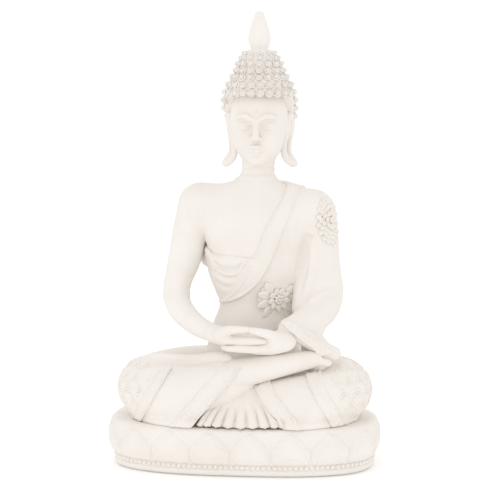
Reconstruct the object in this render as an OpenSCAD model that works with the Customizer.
// Seated meditating figure on a lotus plinth, cast in white stone powder and resin.
// Millimetres. X to the viewer's right, Y to the back, Z up, origin under the middle of the plinth.

/* [Overall] */
// Height from the table to the tip of the flame
total_h = 200; // [160:5:240]
// Sideways offset of the upper body from the middle of the plinth
axis_x = 4; // [0:0.5:6]
// Depth offset of the upper body from the middle of the plinth
axis_y = 8; // [5:0.5:10]

/* [Plinth] */
// Width of the plinth at its widest
base_w = 122; // [110:1:150]
// Depth of the plinth at its widest
base_d = 68; // [62:1:90]
// Height of the plinth above its underside
base_h = 20.5; // [15:0.5:26]
// How far the foot of the plinth is drawn in from its widest line
foot_inset = 3; // [2:0.5:6]
// Height of the plain lip under the beads
lip_h = 2.4; // [1.5:0.1:4]
// Number of lotus petals round the plinth
petal_count = 18; // [12:1:24]
// Thickness of a petal at its middle
petal_t = 1.6; // [1:0.1:2.5]
// Number of beads in the row round the foot
bead_count = 128; // [80:2:140]
// Radius of a bead
bead_r = 1.05; // [0.8:0.05:1.15]

/* [Felt] */
// Thickness of the felt sheet
felt_t = 1.2; // [0.8:0.1:3]
// How far the felt stands below the plinth
felt_proud = 0.6; // [0.3:0.1:0.8]
// Width of the border left round the felt
felt_border = 5; // [3:0.5:10]

/* [Pins] */
// Radius of the steel pins that locate the castings
pin_r = 1.5; // [1:0.1:2]
// Radial clearance of a pin in its bore
pin_gap = 0.05; // [0.02:0.01:0.1]
// Length of the neck pin
neck_pin_l = 16; // [12:1:20]
// Length of each seat pin
seat_pin_l = 16; // [12:1:22]
// Distance between the two seat pins
seat_pin_gap = 30; // [20:1:36]
// Radius of the tenon under the flame
tenon_r = 1.8; // [1.2:0.1:2.2]
// Length of the tenon under the flame
tenon_l = 6; // [4:0.5:8]

/* [Ornament] */
// Thickness of the monk's robe over the body
robe_t = 1.2; // [0.8:0.1:2]
// Extra thickness of the folded sash over the robe
sash_t = 1.4; // [1:0.1:2.5]
// Thickness of the embroidered bands
band_t = 1; // [0.6:0.1:1.5]
// Radius of the flower at the waist
waist_flower_r = 9.5; // [7:0.5:11]
// Radius of the flower on the shoulder
shoulder_flower_r = 9; // [7:0.5:11]
// Radius of a hair curl at its root
curl_r = 1.5; // [1:0.1:1.8]
// Height of a hair curl
curl_h = 2.2; // [1.4:0.1:3]

/* [Hidden] */
$fn = 32;

// The figure is drawn 180 tall and scaled to what the total height leaves above the plinth.
drawn_h = 180;
base_z = felt_proud;
seat_z = base_z + base_h;
figure_scale = (total_h - seat_z) / drawn_h;
sides = 24;
plan_power = 2.7;
flame_z = 163.5;
flame_h = drawn_h - flame_z;

// ---------- section and loft helpers ----------
function signed_power(v, p) = sign(v) * pow(abs(v), p);

// A point on a superellipse of half-widths a and b, at parameter t
function oval(a, b, p, t) = [a * signed_power(cos(t), 2 / p), b * signed_power(sin(t), 2 / p)];

// A blend between four values, through the middle two
function spline(k0, k1, k2, k3, t) =
  0.5 * (2 * k1 + (k2 - k0) * t + (2 * k0 - 5 * k1 + 4 * k2 - k3) * t * t
         + (3 * k1 - k0 - 3 * k2 + k3) * t * t * t);

// Keys with steps - 1 smooth ones added in every gap
function smooth(keys, steps) = let (last = len(keys) - 1) [
  for (i = [0:last - 1], s = [0:steps - 1])
    spline(keys[max(i - 1, 0)], keys[i], keys[i + 1], keys[min(i + 2, last)], s / steps),
  keys[last]
];

// Faces of a closed skin over rings of n points each
function skin_faces(rings, n) = concat(
  [[for (k = [0:n - 1]) k]],
  [for (r = [0:rings - 2], k = [0:n - 1]) let (a = r * n + k, b = r * n + (k + 1) % n) [a, a + n, b]],
  [for (r = [0:rings - 2], k = [0:n - 1]) let (a = r * n + k, b = r * n + (k + 1) % n) [b, a + n, b + n]],
  [[for (k = [n - 1:-1:0]) (rings - 1) * n + k]]
);

module skin(rings) {
  n = len(rings[0]);
  polyhedron(points = [for (r = rings, p = r) p], faces = skin_faces(len(rings), n), convexity = 6);
}

// One solid from pieces that are trimmed against each other
module casting() {
  resize([0, 0, 0]) children();
}

// A stack of level ovals. A key is [z, centre x, centre y, half width, half depth, power]
function level_ring(k, n, grow = 0) = [
  for (i = [0:n - 1])
    let (q = oval(k[3] + grow, k[4] + grow, k[5], 360 * i / n)) [k[1] + q[0], k[2] + q[1], k[0]]
];

module level_loft(keys, steps = 3, n = sides, grow = 0) {
  skin([for (k = smooth(keys, steps)) level_ring(k, n, grow)]);
}

function unit(v) = v / norm(v);

// A limb along a path. A key is [x, y, z, half width across, half width upwards]
function limb_ring(c, ahead, n) =
  let (side = unit(cross(ahead, [0, 0, 1])), up = cross(side, ahead)) [
    for (i = [0:n - 1])
      [c[0], c[1], c[2]] + c[3] * cos(360 * i / n) * side + c[4] * sin(360 * i / n) * up
  ];

module limb(keys, steps = 3, n = 16) {
  path = smooth(keys, steps);
  last = len(path) - 1;
  at = function(i) [path[i][0], path[i][1], path[i][2]];
  skin([
    for (i = [last:-1:0]) limb_ring(path[i], unit(at(min(i + 1, last)) - at(max(i - 1, 0))), n)
  ]);
}

module figure() {
  translate([0, 0, seat_z]) scale(figure_scale) children();
}

// ---------- plinth ----------
// The beads lie in a groove over the plain lip, and the petals stand on the groove's upper edge
bead_rest = 0.25;
bead_sink = 0.3;
groove_depth = 0.9;
groove_low = lip_h / base_h;
bead_level = (lip_h + bead_rest + bead_r) / base_h;
petal_low = (lip_h + 2 * (bead_rest + bead_r)) / base_h;
petal_high = 0.93;

// Profile of the plinth's side: [height as a share of base_h, inset from the widest line]
plinth_profile = [[0, foot_inset], [groove_low - 0.01, foot_inset - 0.5], [groove_low + 0.01, foot_inset + groove_depth],
                  [petal_low - 0.01, foot_inset + groove_depth - 0.2], [petal_low + 0.13, foot_inset * 0.5], [0.6, 0.7], [0.8, 0.2],
                  [0.92, 0.4], [1, 1.4]];
plinth_sides = 72;

function plinth_inset(share) = lookup(share, plinth_profile);
function plinth_point(t, share, grow) =
  let (d = grow - plinth_inset(share), q = oval(base_w / 2 + d, base_d / 2 + d, plan_power, t))
    [q[0], q[1], base_z + share * base_h];

// Parameter against distance along the outline at an inset, so that what repeats is evenly spaced
rim_steps = 720;
function rim_table(inset) =
  let (at = function(i) oval(base_w / 2 - inset, base_d / 2 - inset, plan_power, 360 * i / rim_steps),
       gaps = [for (i = [1:rim_steps]) norm(at(i) - at(i - 1))])
    [for (i = 0, s = 0; i <= rim_steps; s = s + (i < rim_steps ? gaps[i] : 0), i = i + 1) [s, 360 * i / rim_steps]];
function rim_angle(table, share) = lookup(table[rim_steps][0] * (share - floor(share)), table);
petal_table = rim_table(0);
bead_table = rim_table(foot_inset + groove_depth + bead_sink - bead_r);

module plinth_body() {
  skin([
    for (row = plinth_profile)
      [for (i = [0:plinth_sides - 1]) plinth_point(360 * i / plinth_sides, row[0], 0)]
  ]);
}

module seat_pins_at() {
  for (side = [-1, 1]) translate([side * seat_pin_gap / 2, axis_y, seat_z - seat_pin_l / 2]) children();
}

module lotus_plinth() {
  color("ivory") difference() {
    plinth_body();
    translate([0, 0, base_z - 1]) linear_extrude(1 + felt_t - felt_proud) felt_outline(pin_gap);
    seat_pins_at() cylinder(h = seat_pin_l, r = pin_r + pin_gap);
  }
}

module felt_outline(grow) {
  in = foot_inset + felt_border - grow;
  polygon([for (i = [0:plinth_sides - 1]) oval(base_w / 2 - in, base_d / 2 - in, plan_power, 360 * i / plinth_sides)]);
}

module base_felt() {
  color("gray") linear_extrude(felt_t) felt_outline(0);
}

module seat_pins() {
  color("silver") seat_pins_at() cylinder(h = seat_pin_l, r = pin_r);
}

// A petal is a pointed arch, widest low down and drawn to a tip at the rim
petal_phase = -0.15;
function petal_half(v) = 0.95 * (v < 0.45 ? sqrt(1 - pow((0.45 - v) / 0.62, 2)) : pow(1 - (v - 0.45) / 0.55, 0.62));

module lotus_petal(index) {
  across = 4;
  up = 6;
  rows = [
    for (j = [0:up]) let (v = j / up, share = petal_low + v * (petal_high - petal_low)) [
      for (i = [0:across])
        let (u = 2 * i / across - 1,
             turn = rim_angle(petal_table, (index + 0.5 * u * max(petal_half(v), 0.06)) / petal_count),
             swell = petal_t * (1 - 0.75 * u * u) * (0.55 + 0.45 * sin(180 * v)))
          [plinth_point(turn, share, 0), plinth_point(turn, share, 0.3 + swell)]
    ]
  ];
  skin([
    for (row = rows) concat([for (q = row) q[0]], [for (i = [across:-1:0]) row[i][1]])
  ]);
}

module lotus_petals() {
  color("ivory") casting() for (index = [0:petal_count - 1]) lotus_petal(index + petal_phase);
}

module bead_row() {
  color("ivory") for (index = [0:bead_count - 1])
    translate(plinth_point(rim_angle(bead_table, index / bead_count), bead_level, bead_r - bead_sink)) sphere(r = bead_r);
}

// ---------- legs and what lies on them ----------
right_thigh = [[-8, 14, 15, 12, 13], [-24, 10, 15, 14, 14], [-38, 0, 15, 14, 14.5], [-46, -7, 14.5, 10, 12], [-52, -10, 14, 4, 7]];
right_shin = [[-50, -8, 13, 5, 8], [-42, -12, 13.5, 12, 13], [-26, -19, 12.5, 11.5, 12.5], [-8, -20, 12, 10, 12.5], [6, -20, 12, 7, 11]];
left_thigh = [[8, 13.6, 15, 12, 13], [24, 9.7, 14.2, 14, 13.5], [38, 0, 13, 14, 13.5], [46, -6, 13, 11, 12.5], [53, -8, 12.5, 4.5, 7.5]];
left_shin = [[51, -7, 11, 5, 8], [42, -11, 11.5, 12, 11.5], [27, -19, 10.5, 11, 11], [14, -20, 9.5, 9, 10], [4, -20, 9, 7, 8]];
foot_keys = [[-18, -17, 17, 6, 9], [-4, -18, 21, 6.5, 9], [10, -18, 25.5, 6.5, 6.5], [22, -15, 27.5, 6.5, 5],
             [34, -12, 28.5, 6, 4], [40, -11, 30, 3.5, 2.5]];
limb_sides = 20;
foot_sides = 14;

// Where a band crosses a leg: [x at the seat, lean from upright in degrees]
right_knee_line = [-45, 29];
right_hem_line = [-27, 44];
left_knee_line = [43.5, -31];
left_hem_line = [22, -37];
knee_band_w = 4.5;
hem_band_w = 6;
hem_inset = hem_band_w / 2 + 0.4;
band_depth = 54;

// What lies under the level of the seat is cut away flat
module seat_cut() {
  translate([-100, -100, -60]) cube([200, 200, 60]);
}

// The side of a leaning line that faces the middle, in front of the thighs
module past_line(line, side, depth) {
  translate([line[0], -60, 0]) rotate([0, line[1], 0]) translate([side > 0 ? -80 : 0, 0, -40]) cube([80, depth, 120]);
}

module leg(thigh, shin, line, side) {
  difference() {
    union() {
      limb(thigh, n = limb_sides);
      difference() {
        limb(shin, n = limb_sides);
        past_line(line, side, 60);
      }
    }
    seat_cut();
  }
}

module right_leg_body(grow = 0) leg(grown(right_thigh, grow), grown(right_shin, grow), right_hem_line, -1);
module left_leg_body(grow = 0) leg(grown(left_thigh, grow), grown(left_shin, grow), left_hem_line, 1);
module foot_body() limb(foot_keys, n = foot_sides);

// The same limb, thicker all round and at both ends
function key_point(k) = [k[0], k[1], k[2]];
function end_shift(keys, i, by) =
  i == 0 ? by * unit(key_point(keys[0]) - key_point(keys[1])) :
  i == len(keys) - 1 ? by * unit(key_point(keys[i]) - key_point(keys[i - 1])) : [0, 0, 0];
function grown(keys, by) = [
  for (i = [0:len(keys) - 1])
    concat(key_point(keys[i]) + end_shift(keys, i, by), [keys[i][3] + by, keys[i][4] + by])
];

module pin_bores() {
  seat_pins_at() cylinder(h = seat_pin_l, r = pin_r + pin_gap);
}

// Each thigh stops at the middle plane, where the two leg castings meet
module right_leg() {
  color("ivory") difference() {
    figure() casting() difference() {
      right_leg_body();
      torso_body();
      translate([0, -100, -1]) cube([100, 200, 100]);
    }
    pin_bores();
  }
}

module left_leg() {
  color("ivory") difference() {
    figure() casting() difference() {
      left_leg_body();
      torso_body();
      translate([-100, -100, -1]) cube([100, 200, 100]);
    }
    pin_bores();
  }
}

module right_foot() {
  color("ivory") figure() casting() difference() {
    foot_body();
    right_leg_body();
    left_leg_body();
    torso_body();
  }
}

// The pleated end of the robe, spread like a fan over the seat between the shins
fan_spread = 68;
fan_centre = [axis_x - 5, -13];
fan_root = 4;
fan_squash = 0.78;
fan_folds = 9;
fan_reach = 25;
fan_top = 13;
fan_rim = 2.2;
fan_pleat = 1.4;

function fan_point(v, i, z) =
  let (r = fan_root + v * (fan_reach - fan_root), a = -fan_spread + fan_spread * i / fan_folds)
    [fan_centre[0] + r * sin(a), fan_centre[1] - fan_squash * r * cos(a), z];

module pleated_hem() {
  last = fan_folds * 2;
  color("ivory") figure() casting() difference() {
    skin([
      for (step = [0:4]) let (v = step / 4, top = fan_top + v * (fan_rim - fan_top)) concat(
        [for (i = [0:last]) fan_point(v, i, 0)],
        [for (i = [last:-1:0]) fan_point(v, i, top + (i % 2) * fan_pleat * v)]
      )
    ]);
    right_leg_body();
    left_leg_body();
    foot_body();
  }
}

// A hem band stands back a little from the edge of the cloth
function moved_in(line, side) = line + [side * hem_inset / cos(line[1]), 0];

// A band round a leg: the thickened leg between two leaning planes, with the leg taken out
module leg_band(line, width) {
  color("ivory") figure() casting() difference() {
    intersection() {
      children(0);
      translate([line[0], -60, 0]) rotate([0, line[1], 0]) translate([-width / 2, 0, -40]) cube([width, band_depth, 120]);
    }
    children(1);
    foot_body();
    torso_body(robe_t);
    right_hand_body();
    left_hand_body();
    right_arm_body();
    left_sleeve_body();
    cuff_body();
  }
}

module right_knee_band() leg_band(right_knee_line, knee_band_w) { right_leg_body(band_t); right_leg_body(); }
module right_hem_band() leg_band(moved_in(right_hem_line, -1), hem_band_w) { right_leg_body(band_t); right_leg_body(); }
module left_knee_band() leg_band(left_knee_line, knee_band_w) { left_leg_body(band_t); left_leg_body(); }
module left_hem_band() leg_band(moved_in(left_hem_line, 1), hem_band_w) { left_leg_body(band_t); left_leg_body(); }

// Low relief flowers in rows on the outside of a knee
knee_flower_r = 3;
knee_flower_turns = [-54, -19, 15];
knee_flower_levels = [7.4, 16.6];

module knee_flowers(side) {
  color("ivory") figure() casting() difference() {
    intersection() {
      children(0);
      for (z = knee_flower_levels, turn = knee_flower_turns)
        translate([side * 40, -6, z]) rotate([0, 90, side > 0 ? turn : 180 - turn])
          cylinder(h = 40, r = knee_flower_r, $fn = 6);
    }
    children(1);
  }
}

module right_knee_flowers() knee_flowers(-1) { right_leg_body(band_t); right_leg_body(); }
module left_knee_flowers() knee_flowers(1) { left_leg_body(band_t); left_leg_body(); }

// ---------- torso and robe ----------
tx = axis_x;
ty = axis_y;
torso_keys = [
  [4, tx - 1, ty + 2, 21, 15, 2.3], [26, tx - 1, ty + 2, 20, 14.5, 2.3], [42, tx, ty + 1, 17.2, 12, 2.2], [52, tx, ty + 1, 17.6, 11.5, 2.2],
  [64, tx, ty, 20.5, 12, 2.2], [76, tx, ty, 22.5, 12.8, 2.3], [88, tx, ty, 25, 12.8, 2.4],
  [96, tx, ty + 0.5, 27.5, 11.5, 2.4], [101, tx, ty + 1, 25, 9, 2.3], [104, tx, ty + 1.5, 17, 7.5, 2.1],
  [107, tx + 0.2, ty + 1.5, 8, 7, 2]
];
function torso_key(z) = [for (i = [0:5]) i == 0 ? z : lookup(z, [for (k = torso_keys) [k[0], k[i]]])];
function torso_point(t, z, grow) = let (k = torso_key(z), q = oval(k[3] + grow, k[4] + grow, k[5], t))
  [k[1] + q[0], k[2] + q[1], z];

module torso_body(grow = 0) level_loft(torso_keys, steps = 2, grow = grow);

module torso() {
  color("ivory") difference() {
    figure() torso_body();
    neck_pin_place() cylinder(h = neck_pin_l, r = pin_r + pin_gap);
    pin_bores();
  }
}

// Outlines of the cloth seen from the front: [x from the middle of the body, z]
sash_edge = [[9, 106], [8.6, 94.4], [5.3, 87.4], [3.2, 80], [-2.2, 70.2], [-7.5, 64.8]];
sash_outline = concat(sash_edge, [[-12, 60], [-19, 54], [-17, 50.6], [-8.7, 52], [-2.2, 56], [2.7, 61.6], [7, 69],
  [9.6, 75], [14.5, 88.5], [19, 99.5], [21, 106]]);
fold_edge = [[-12.9, 64.6], [-17.3, 66.5], [-21.5, 72.8], [-40, 76]];
drape_outline = concat([[-7.7, 64.6]], fold_edge, [[-40, 49], [-17.2, 50.4], [-19.3, 54], [-12.2, 59.8]]);
bare_outline = concat(sash_edge, fold_edge, [[-60, 76], [-60, 115], [9, 115]]);
back_drape_outline = [[-40, 49], [-40, 76], [-12, 78], [-12, 60], [-12, 49]];
bare_back_outline = [[-60, 76], [-10, 78], [4, 90], [12, 106], [12, 115], [-60, 115]];
robe_low = 8;
neck_opening_z = 103.5;

// A cutter with an outline drawn in the front view, over the front or the back half of the body
module front_cutter(outline, back = false) {
  translate([tx, back ? ty + 60 : ty, 0]) rotate([90, 0, 0]) linear_extrude(60) polygon(outline);
}

module robe_body() {
  difference() {
    torso_body(robe_t);
    front_cutter(bare_outline);
    front_cutter(bare_back_outline, back = true);
    translate([-60, -60, -60]) cube([120, 120, 60 + robe_low]);
    translate([-60, -60, neck_opening_z]) cube([120, 120, 60]);
  }
}

module robe() {
  color("ivory") figure() casting() difference() {
    robe_body();
    torso_body();
    right_arm_body();
    left_sleeve_body();
    right_leg_body();
    left_leg_body();
    foot_body();
  }
}

module sash_body() {
  intersection() {
    torso_body(robe_t + sash_t);
    front_cutter(sash_outline);
    translate([-60, -60, 0]) cube([120, 120, neck_opening_z - 0.2]);
  }
}

module shoulder_sash() {
  color("ivory") figure() casting() difference() {
    sash_body();
    torso_body(robe_t);
    right_arm_body();
    left_sleeve_body();
  }
}

module robe_drape() {
  color("ivory") figure() casting() difference() {
    intersection() {
      torso_body(robe_t + 0.7 * sash_t);
      union() {
        front_cutter(drape_outline);
        front_cutter(back_drape_outline, back = true);
      }
    }
    torso_body(robe_t);
    right_arm_body();
  }
}

// A flower of pointed petals round a beaded heart, lying in the XY plane
module flower(r, count, rings) {
  for (ring = [0:rings - 1], i = [0:count - 1])
    rotate(360 * (i + ring / 2) / count) translate([r * (0.58 - 0.24 * ring), 0, 0.9 * ring])
      rotate([0, 0, 45]) cylinder(h = 1.6, r1 = r * 0.24, r2 = r * 0.12, $fn = 4);
  cylinder(h = 2.6 + 0.4 * rings, r = r * 0.3, $fn = 12);
}

module waist_flower() {
  color("ivory") figure() casting() difference() {
    translate(torso_point(299, 54, robe_t)) rotate([0, 0, 20]) rotate([90, 0, 0])
      flower(waist_flower_r, 11, 2);
    torso_body(robe_t);
    sash_body();
    left_sleeve_body();
  }
}

// ---------- arms and hands ----------
right_arm_keys = [
  [tx - 19, ty, 98, 4, 4], [tx - 26, ty, 94.5, 8.4, 8.4], [tx - 29.6, ty - 1, 84, 7.8, 8], [tx - 32.6, ty - 2, 70, 6.9, 7],
  [tx - 35.3, ty - 5, 57, 5.6, 6.2], [tx - 32, ty - 13, 48, 5.2, 5], [tx - 24, ty - 22, 41.3, 4.5, 4.3],
  [tx - 13, ty - 28, 37.3, 4, 3.2]
];
left_arm_keys = [
  [tx + 19, ty, 96, 4, 4], [tx + 26, ty, 91.5, 8.6, 8.6], [tx + 28, ty, 82, 8.8, 9], [tx + 29, ty - 1, 68, 8.8, 9],
  [tx + 30, ty - 5, 56, 8.4, 8.6], [tx + 26, ty - 14, 47, 7.4, 8], [tx + 20, ty - 21, 41, 6.4, 6]
];
cuff_t = 1.2;
cuff_keys = [[tx + 21, ty - 20, 41.8, 6.6 + cuff_t, 6.2 + cuff_t], [tx + 16, ty - 25, 38.5, 6 + cuff_t, 5 + cuff_t]];

module right_arm_body() limb(right_arm_keys);
module left_sleeve_body() limb(left_arm_keys);
module cuff_body() limb(cuff_keys, steps = 1);

module right_arm() {
  color("ivory") figure() casting() difference() {
    right_arm_body();
    torso_body();
    right_leg_body();
    right_hand_body();
  }
}

module left_sleeve() {
  color("ivory") figure() casting() difference() {
    left_sleeve_body();
    torso_body();
    left_leg_body();
  }
}

module sleeve_cuff() {
  color("ivory") figure() casting() difference() {
    cuff_body();
    left_sleeve_body();
    left_leg_body();
    foot_body();
    torso_body();
    left_hand_body();
  }
}

module shoulder_flower() {
  color("ivory") figure() casting() difference() {
    translate([tx + 32.5, ty - 6.5, 88]) rotate([0, 0, 38]) rotate([84, 0, 0])
      flower(shoulder_flower_r, 12, 2);
    left_sleeve_body();
  }
}

// A hand lies palm up: a flat palm, four fingers side by side and a thumb across the top
right_hand_z = 37.5;
left_hand_z = 33.5;
finger_gap = 2.9;
hand_y = ty - 30;

module hand_body(side, level) {
  translate([tx, hand_y, level]) {
    limb([[side * 14, -1, 0.4, 4, 2.6], [side * 9, 0, 0, 6.2, 2.6], [side * 2, 0, 0, 6.4, 2.2]], steps = 2, n = 12);
    for (finger = [0:3])
      limb([[side * 4, (finger - 1.5) * finger_gap, 0, 1.6, 1.7], [side * -5, (finger - 1.4) * finger_gap, 0, 1.5, 1.6],
            [side * -11, (finger - 1.3) * finger_gap * 0.9, 0.3, 1.1, 1.2]], steps = 2, n = 8);
    limb([[side * 11, 5, 2, 1.8, 2], [side * 6, 5.5, 4, 1.6, 1.7], [side * 0.6, 5.2, 5.5, 1.2, 1.2]], steps = 2, n = 8);
  }
}

module right_hand_body() hand_body(-1, right_hand_z);
module left_hand_body() hand_body(1, left_hand_z);

module right_hand() {
  color("ivory") figure() casting() difference() {
    right_hand_body();
    right_leg_body();
    foot_body();
  }
}

module left_hand() {
  color("ivory") figure() casting() difference() {
    left_hand_body();
    right_hand_body();
    left_leg_body();
    right_leg_body();
    foot_body();
  }
}

// ---------- head ----------
hx = tx + 1;
hy = ty + 1;
head_keys = [
  [107, tx + 0.2, ty + 1.5, 7.6, 6.8, 2], [112, hx, hy + 1, 7.2, 7, 2], [114, hx, hy, 8, 9.5, 2],
  [117, hx, hy - 0.5, 9.5, 12, 2.1], [122, hx, hy, 11, 13.5, 2.2], [130, hx, hy, 12.4, 14.2, 2.2],
  [138, hx, hy, 13, 14.6, 2.2], [146, hx, hy, 12.6, 13.6, 2.1], [152, hx, hy, 9.5, 10, 2], [155, hx, hy, 5, 5, 2]
];
hair_keys = [
  [116, hx, hy + 4, 9, 9, 2], [122, hx, hy + 3, 13, 13, 2.1], [132, hx, hy + 1.6, 15.4, 15.4, 2.1],
  [141, hx, hy + 1, 15.8, 15.8, 2.1], [148, hx, hy + 1, 13.8, 13.6, 2], [152, hx, hy + 1, 11, 11, 2],
  [156, hx, hy + 1, 9.8, 9.8, 2], [160, hx, hy + 1, 8, 8, 2], [163.5, hx, hy + 1, 5, 5, 2]
];

// The hairline runs level over the brow and slopes down behind the ears
module behind_hairline() {
  translate([hx, hy - 3, 143]) rotate([-58, 0, 0]) translate([-40, -60, 0]) cube([80, 120, 60]);
  translate([hx - 40, hy - 60, 143.5]) cube([80, 120, 60]);
}

module head_body() level_loft(head_keys);

module neck_pin_place() {
  translate([0, 0, seat_z]) translate([hx, hy + 1, 107] * figure_scale) translate([0, 0, -neck_pin_l / 2]) children();
}

module head() {
  color("ivory") difference() {
    figure() casting() difference() {
      head_body();
      behind_hairline();
    }
    neck_pin_place() cylinder(h = neck_pin_l, r = pin_r + pin_gap);
  }
}

module neck_pin() {
  color("silver") neck_pin_place() cylinder(h = neck_pin_l, r = pin_r);
}

module hair_body() {
  intersection() {
    level_loft(hair_keys);
    behind_hairline();
  }
}

module hair_cap() {
  color("ivory") difference() {
    figure() casting() difference() {
      hair_body();
      ear_body(-1);
      ear_body(1);
    }
    flame_place() translate([0, 0, -tenon_l]) cylinder(h = tenon_l + 1, r = tenon_r + pin_gap);
  }
}

module ear_body(side) {
  limb([[hx + side * 13.2, hy + 1, 137, 2.4, 1.2], [hx + side * 14.4, hy + 1.5, 133, 3.4, 1.6], [hx + side * 14.2, hy + 1, 125, 2.6, 1.5],
        [hx + side * 13.8, hy + 0.6, 118, 2.4, 1.4], [hx + side * 15.5, hy + 0.4, 112, 2.2, 1.6]], n = 12);
}

module ear(side) {
  color("ivory") figure() casting() difference() {
    ear_body(side);
    head_body();
  }
}

module right_ear() ear(-1);
module left_ear() ear(1);

// Rows of pointed curls over the hair, each row turned half a step from the last
curl_rows = [[131, 24], [136, 26], [141, 24], [145.5, 22], [149.5, 17], [153.5, 14], [157.5, 12], [161, 9]];
function hair_key(z) = [for (i = [0:5]) i == 0 ? z : lookup(z, [for (k = hair_keys) [k[0], k[i]]])];

module hair_curls() {
  color("ivory") figure() for (row = [0:len(curl_rows) - 1]) {
    z = curl_rows[row][0];
    count = curl_rows[row][1];
    k = hair_key(z);
    slope = atan2(hair_key(z - 1)[3] - hair_key(z + 1)[3], 2);
    for (i = [0:count - 1]) {
      a = 360 * (i + 0.5 * (row % 2)) / count;
      q = oval(k[3], k[4], k[5], a);
      behind = z - 143.5 > -1 || k[2] + q[1] > hy - 3 + (143 - z) * 1.6;
      if (behind)
        translate([k[1] + q[0], k[2] + q[1], z]) rotate([0, 90 - slope, atan2(q[1], q[0])])
          cylinder(h = curl_h, r1 = curl_r, r2 = 0.4);
    }
  }
}

module flame_place() {
  translate([0, 0, seat_z]) translate([hx, hy + 1, flame_z] * figure_scale) children();
}

module flame_finial() {
  h = flame_h * figure_scale;
  color("ivory") flame_place() {
    rotate_extrude() polygon([
      [0, -tenon_l + 0.5], [tenon_r, -tenon_l + 0.5], [tenon_r, 0], [4, 0], [3.7, 0.06 * h], [4.3, 0.18 * h], [4.7, 0.3 * h],
      [4.6, 0.42 * h], [4.1, 0.56 * h], [3.5, 0.7 * h], [3, 0.84 * h], [2.4, 0.93 * h], [1.4, 0.985 * h], [0, h]
    ]);
  }
}

base_felt();
lotus_plinth();
lotus_petals();
bead_row();
seat_pins();
right_leg();
left_leg();
right_foot();
pleated_hem();
right_knee_band();
right_hem_band();
left_knee_band();
left_hem_band();
right_knee_flowers();
left_knee_flowers();
torso();
robe();
robe_drape();
shoulder_sash();
waist_flower();
right_arm();
left_sleeve();
sleeve_cuff();
shoulder_flower();
right_hand();
left_hand();
neck_pin();
head();
right_ear();
left_ear();
hair_cap();
hair_curls();
flame_finial();
